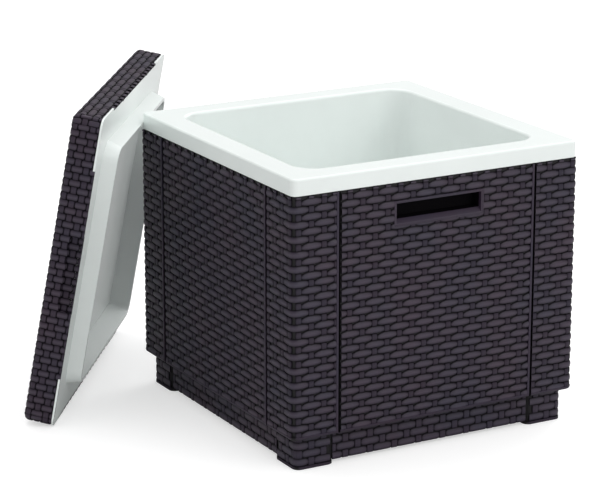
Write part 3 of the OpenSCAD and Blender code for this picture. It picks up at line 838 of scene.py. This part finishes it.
class COOLER_OT_lid_cover(bpy.types.Operator):
    """Models the lid's cover: a shallow shell with rounded edges, hand grips and ribs inside"""

    bl_idname = "cooler.lid_cover"
    bl_label = "Lid cover"

    def execute(self, context):
        lid = context.scene.cooler_lid
        half, inset = lid.half - lid.relief, lid.relief
        shell = block("lid_cover_shell", (-half, -half, inset), (half, half, lid.height))
        edit(shell)
        pick_edges(lambda a, b: abs(a.z - b.z) > 0.01)
        bpy.ops.mesh.bevel(offset=lid.corner - inset, segments=6, affect="EDGES")
        pick_edges(lambda a, b: a.z < inset + 1e-4 and b.z < inset + 1e-4)
        bpy.ops.mesh.bevel(offset=lid.edge - inset, segments=5, affect="EDGES")
        grip_low, grip_half = lid.height - lid.grip_height, lid.grip_length / 2
        for place, normal in (
            ((0, grip_half, 0), (0, 1, 0)), ((0, -grip_half, 0), (0, 1, 0)),
            ((0, 0, grip_low), (0, 0, 1)),
        ):
            pick_faces(lambda at, n: abs(n.x) > 0.99)
            bpy.ops.mesh.bisect(plane_co=place, plane_no=normal)
        pick_faces(lambda at, n: n.z > 0.9)
        bpy.ops.mesh.delete(type="FACE")
        for side in (-1, 1):
            pick_faces(
                lambda at, n: n.x * side > 0.99 and abs(at.y) < grip_half and at.z > grip_low)
            bpy.ops.mesh.extrude_region_move(
                TRANSFORM_OT_translate={"value": (-side * lid.grip_depth, 0, 0)})
            top = lid.height - 1e-5
            pick_faces(lambda at, n: at.z > top)
            bpy.ops.mesh.delete(type="FACE")
        done()
        apply(shell, "SOLIDIFY", thickness=lid.wall, offset=-1, use_even_offset=True)
        shell.data.materials.append(finish_named("Cover plastic"))
        inner = lid.half - inset - lid.wall
        ribs = []
        rib_half, rib_height, under = 0.001, 0.0098, inset + lid.wall
        for place in (-lid.half / 2, 0, lid.half / 2):
            for turn in (0, 90):
                rib = block(
                    "rib", (place - rib_half, -inner, under - 1e-5),
                    (place + rib_half, inner, under + rib_height))
                set_in_place(rib, Matrix.Rotation(radians(turn), 4, "Z"))
                rib.data.materials.append(finish_named("Cover plastic"))
                ribs.append(rib)
        seat = lid.height - 0.0026
        ledge_half, ledge_depth, ledge_height = lid.half - 0.069, 0.0025, 0.004
        clip_half, clip_rise = 0.003, 0.0024
        for turn in SIDES.values():
            ledge = block(
                "ledge", (-ledge_half, inner - ledge_depth, seat - ledge_height),
                (ledge_half, inner, seat))
            set_in_place(ledge, Matrix.Rotation(radians(turn), 4, "Z"))
            ribs.append(ledge)
            for x in (-0.08, 0.08):
                clip = block(
                    "clip", (x - clip_half, inner - ledge_depth, seat - ledge_height),
                    (x + clip_half, inner, seat + clip_rise))
                set_in_place(clip, Matrix.Rotation(radians(turn), 4, "Z"))
                ribs.append(clip)
        shell = join("lid_cover_shell", shell, *ribs)
        set_in_place(shell, lid_place(lid))
        smooth(shell, 30)
        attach(shell, "lid")
        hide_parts("lid_cover")
        return {"FINISHED"}


def on_lid_edge(lid, turn):
    """The place on the lid of a strip that was bent round the lid's outer edge."""
    turned = Matrix((
        (-cos(pi / 4), cos(pi / 4), 0, 0), (0, 0, 1, 0), (cos(pi / 4), cos(pi / 4), 0, 0),
        (0, 0, 0, 1)))
    middle = Vector((-lid.half + lid.edge, 0, lid.edge))
    turned.translation = middle - turned.to_3x3() @ Vector((0, lid.edge, 0))
    return Matrix.Rotation(radians(turn), 4, "Z") @ turned


class COOLER_OT_lid_weave(bpy.types.Operator):
    """Models the weave of the lid's face, of its four sides and of its corners"""

    bl_idname = "cooler.lid_weave"
    bl_label = "Lid weave"

    def execute(self, context):
        lid, sizes = context.scene.cooler_lid, context.scene.cooler_weave
        over, under = finish_named("Strand plastic"), finish_named("Stake plastic")
        across, up = sizes.column, sizes.row
        flat = lid.half - lid.edge
        straight = lid.half - lid.corner
        arc = lid.edge * pi / 4
        far = arc + lid.height - lid.edge
        plain = strand("strand", sizes.strand, 0.0090, lid.relief, 0.0080, over, (0.8, 0.8), 0)
        bar = stake("stake", 0.0080, 0.0086, lid.relief, 0.0004, under)

        field = plain_weave(plain, bar, across, up)
        set_in_place(field, Matrix.Translation((-12 * across, 0, -24 * up)))
        repeat(field, 2 * across, 13, 2 * up, 25)
        keep_between(field, X, -flat, flat)
        keep_between(field, Z, -flat, flat)
        face = copy_of(field, "lid_face_weave")
        set_in_place(face, lid_place(lid) @ Matrix.Rotation(pi / 2, 4, "X"))
        pieces = [face]
        drop(field)

        short = strand("short", 0.0146, 0.0090, lid.relief, 0.0024, over, (0.94, 0.94), 0)
        edge_bar = stake("edge_bar", 0.0078, 0.0092, lid.relief, 0.0002, under)
        odd, even = (0.004, 0.028), (-0.008, 0.016, 0.040)
        rows = weave(
            "rows", [(short, x, 0) for x in odd] + [(short, x, up) for x in even],
            [(edge_bar, x, 0) for x in even] + [(edge_bar, x, up) for x in odd])
        keep_between(rows, X, -arc, far)
        bend(rows, lid.edge)
        long_side = copy_of(rows, "long_side", (0, 0, -22 * up))
        repeat(long_side, 0, 1, 2 * up, 23)
        keep_between(long_side, Z, -straight, straight)
        set_in_place(long_side, on_lid_edge(lid, 0))
        reach, low, high = lid.grip_length / 2, lid.height - lid.grip_height, lid.height + 0.001
        sunk = copy_of(long_side, "sunk")
        keep_between(sunk, Y, -reach, reach)
        trim(sunk, (0, 0, low), (0, 0, -1))
        set_in_place(sunk, Matrix.Translation((lid.grip_depth, 0, 0)))
        # The sunk weave in the hand grips gets painted shade: its depth values are pushed deeper so
        # it renders darker.
        grip_painted_shade = 0.18
        for place in sunk.data.attributes["depth"].data:
            place.value = grip_painted_shade + (1 - grip_painted_shade) * place.value
        open_out(long_side, (0, -reach, low), (0, reach, high), X)
        long_side = join("long_side", long_side, sunk)
        for name, turn in (("near", 0), ("far", 180)):
            piece = copy_of(long_side, f"lid_{name}_weave")
            set_in_place(piece, lid_place(lid) @ Matrix.Rotation(radians(turn), 4, "Z"))
            pieces.append(piece)
        drop(long_side)

        corner_rows = copy_of(rows, "corner_rows", (0, 0, -up / 2))
        reach = lid.corner * pi / 4
        keep_between(corner_rows, Z, -reach, reach)
        stand = Matrix.Rotation(pi / 2, 4, "Z") @ Matrix.Translation((lid.half, 0, 0))
        set_in_place(corner_rows, stand @ on_lid_edge(lid, 0))
        bend(corner_rows, lid.corner)
        for name, turn in (("near_low", 0), ("far_low", 90), ("far_high", 180), ("near_high", 270)):
            piece = copy_of(corner_rows, f"lid_{name}_weave")
            set_in_place(piece, lid_place(lid) @ at_corner(turn, straight, lid.corner))
            pieces.append(piece)
        drop(rows, corner_rows)

        laid = copy_of(plain, "laid")
        set_in_place(laid, Matrix.Rotation(pi / 2, 4, "Y"))
        laid_bar = copy_of(bar, "laid_bar")
        set_in_place(laid_bar, Matrix.Rotation(pi / 2, 4, "Y"))
        knob_width, pitch = 0.0048, 0.0097
        knob = stake("knob", knob_width, 0.0086, lid.relief, 0.0001, over)
        strands, stakes = [], []
        for row in range(-1, 4):
            at, shift = -0.0003 + row * pitch, (row % 2) * across
            strands.append((laid, at, shift))
            stakes.append((laid_bar, at, across - shift))
        stakes += [(knob, far - knob_width / 2, across * z) for z in (0.5, 1.5)]
        rows = weave("rows", strands, stakes)
        keep_between(rows, X, -arc, far)
        bend(rows, lid.edge)
        set_in_place(rows, Matrix.Translation((0, 0, -12 * across)))
        repeat(rows, 0, 1, 2 * across, 13)
        keep_between(rows, Z, -straight, straight)
        for name, turn in (("top", 270), ("bottom", 90)):
            piece = copy_of(rows, f"lid_{name}_weave")
            set_in_place(piece, lid_place(lid) @ on_lid_edge(lid, turn))
            pieces.append(piece)
        drop(rows, laid, laid_bar, knob, plain, bar, short, edge_bar)
        for piece in pieces:
            smooth(piece)
            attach(piece, "lid")
        return {"FINISHED"}


# The stage


def lamp(name, place, aim, size, power, colour=(1, 1, 1)):
    """A soft square lamp that points at a place."""
    bpy.ops.object.select_all(action="DESELECT")
    bpy.ops.object.light_add(type="AREA", location=place)
    obj = bpy.context.object
    obj.name = name
    obj.rotation_euler = (Vector(aim) - Vector(place)).to_track_quat("-Z", "Y").to_euler()
    obj.data.shape = "SQUARE"
    obj.data.size = size
    obj.data.energy = power
    obj.data.color = colour


class COOLER_OT_stage(bpy.types.Operator):
    """Adds the floor, the lamps, the light from all round and the camera"""

    bl_idname = "cooler.stage"
    bl_label = "Stage"

    def execute(self, context):
        stage = context.scene.cooler_stage
        bpy.ops.object.select_all(action="DESELECT")
        bpy.ops.mesh.primitive_grid_add(x_subdivisions=4, y_subdivisions=4, size=30)
        floor = bpy.context.object
        floor.name = "floor"
        floor.location.z = -0.0004
        tone, glow_share = 0.62, 0.52
        paper = bpy.data.materials.new("Floor paper")
        paper.use_nodes = True
        nodes, links = paper.node_tree.nodes, paper.node_tree.links
        shader = nodes["Principled BSDF"]
        shader.inputs["Base Color"].default_value = (tone, tone, tone, 1)
        shader.inputs["Roughness"].default_value = 0.9
        shader.inputs["Emission Color"].default_value = (1, 1, 1, 1)
        rays = nodes.new("ShaderNodeLightPath")
        glow = nodes.new("ShaderNodeMath")
        glow.operation = "MULTIPLY"
        glow.inputs[1].default_value = glow_share
        links.new(rays.outputs["Is Camera Ray"], glow.inputs[0])
        links.new(glow.outputs["Value"], shader.inputs["Emission Strength"])
        floor.data.materials.append(paper)

        lamp("key_lamp", (0.9, -2.8, 1.9), (0, 0, 0.2), 1.7, stage.key)
        lamp("back_lamp", (2.2, 1.2, 1.5), (-0.2, 0.2, 0.3), 1.2, stage.back)
        lamp("top_lamp", (0.3, 0.9, 2.6), (0, 0, 0.2), 2.0, stage.top, (1, 0.95, 1))

        world = bpy.data.worlds.new("Room")
        context.scene.world = world
        world.use_nodes = True
        nodes, links = world.node_tree.nodes, world.node_tree.links
        back = nodes["Background"]
        back.inputs["Color"].default_value = (1, 1, 1, 1)
        rays = nodes.new("ShaderNodeLightPath")
        way = nodes.new("ShaderNodeTexCoord")
        parts = nodes.new("ShaderNodeSeparateXYZ")
        links.new(way.outputs["Generated"], parts.inputs["Vector"])
        sky = nodes.new("ShaderNodeMapRange")
        sky.inputs["From Min"].default_value = -0.2
        sky.inputs["From Max"].default_value = 1
        sky.inputs["To Min"].default_value = stage.ambient * 0.4
        sky.inputs["To Max"].default_value = stage.ambient * 1.5
        links.new(parts.outputs["Z"], sky.inputs["Value"])
        last = sky.outputs["Result"]
        for ray, strength in (("Is Glossy Ray", stage.gloss), ("Is Camera Ray", 1.0)):
            level = nodes.new("ShaderNodeMix")
            level.inputs["B"].default_value = strength
            links.new(rays.outputs[ray], level.inputs["Factor"])
            links.new(last, level.inputs["A"])
            last = level.outputs["Result"]
        links.new(last, back.inputs["Strength"])

        bpy.ops.object.camera_add(
            location=stage.eye, rotation=(pi / 2 - stage.pitch, 0, stage.yaw))
        camera = bpy.context.object
        camera.data.lens = stage.lens
        camera.data.sensor_width = 36
        camera.data.clip_start, camera.data.clip_end = 0.05, 100
        context.scene.camera = camera
        context.scene.view_settings.view_transform = "Standard"
        return {"FINISHED"}


class COOLER_PT_panel(bpy.types.Panel):
    """Lists the pieces of the cool box"""

    bl_idname = "COOLER_PT_panel"
    bl_label = "Cooler table"
    bl_space_type = "VIEW_3D"
    bl_region_type = "UI"
    bl_category = "Cooler"

    def draw(self, context):
        column = self.layout.column(align=True)
        for operator in OPERATORS:
            column.operator(operator.bl_idname)
        for group in GROUPS:
            owner = getattr(context.scene, GROUPS[group])
            box = self.layout.box()
            box.label(text=group.__doc__)
            for key in group.__annotations__:
                box.prop(owner, key)


GROUPS = {
    WeaveSizes: "cooler_weave", CasingSizes: "cooler_casing", BaseSizes: "cooler_base",
    LidSizes: "cooler_lid", Finishes: "cooler_finishes", StageSettings: "cooler_stage",
}
OPERATORS = (
    COOLER_OT_stage, COOLER_OT_finishes, COOLER_OT_panel_weave, COOLER_OT_grips,
    COOLER_OT_post_weave, COOLER_OT_base_weave, COOLER_OT_lid_cover, COOLER_OT_lid_weave,
)


def register():
    for group, name in GROUPS.items():
        bpy.utils.register_class(group)
        setattr(bpy.types.Scene, name, PointerProperty(type=group))
    for operator in OPERATORS:
        bpy.utils.register_class(operator)
    bpy.utils.register_class(COOLER_PT_panel)


def unregister():
    bpy.utils.unregister_class(COOLER_PT_panel)
    for operator in reversed(OPERATORS):
        bpy.utils.unregister_class(operator)
    for group, name in reversed(GROUPS.items()):
        delattr(bpy.types.Scene, name)
        bpy.utils.unregister_class(group)


def main():
    register()
    bpy.ops.cooler.stage()
    bpy.ops.cooler.finishes()
    bpy.ops.cooler.panel_weave()
    bpy.ops.cooler.grips()
    bpy.ops.cooler.post_weave()
    bpy.ops.cooler.base_weave()
    bpy.ops.cooler.lid_cover()
    bpy.ops.cooler.lid_weave()


if __name__ == "__main__":
    main()
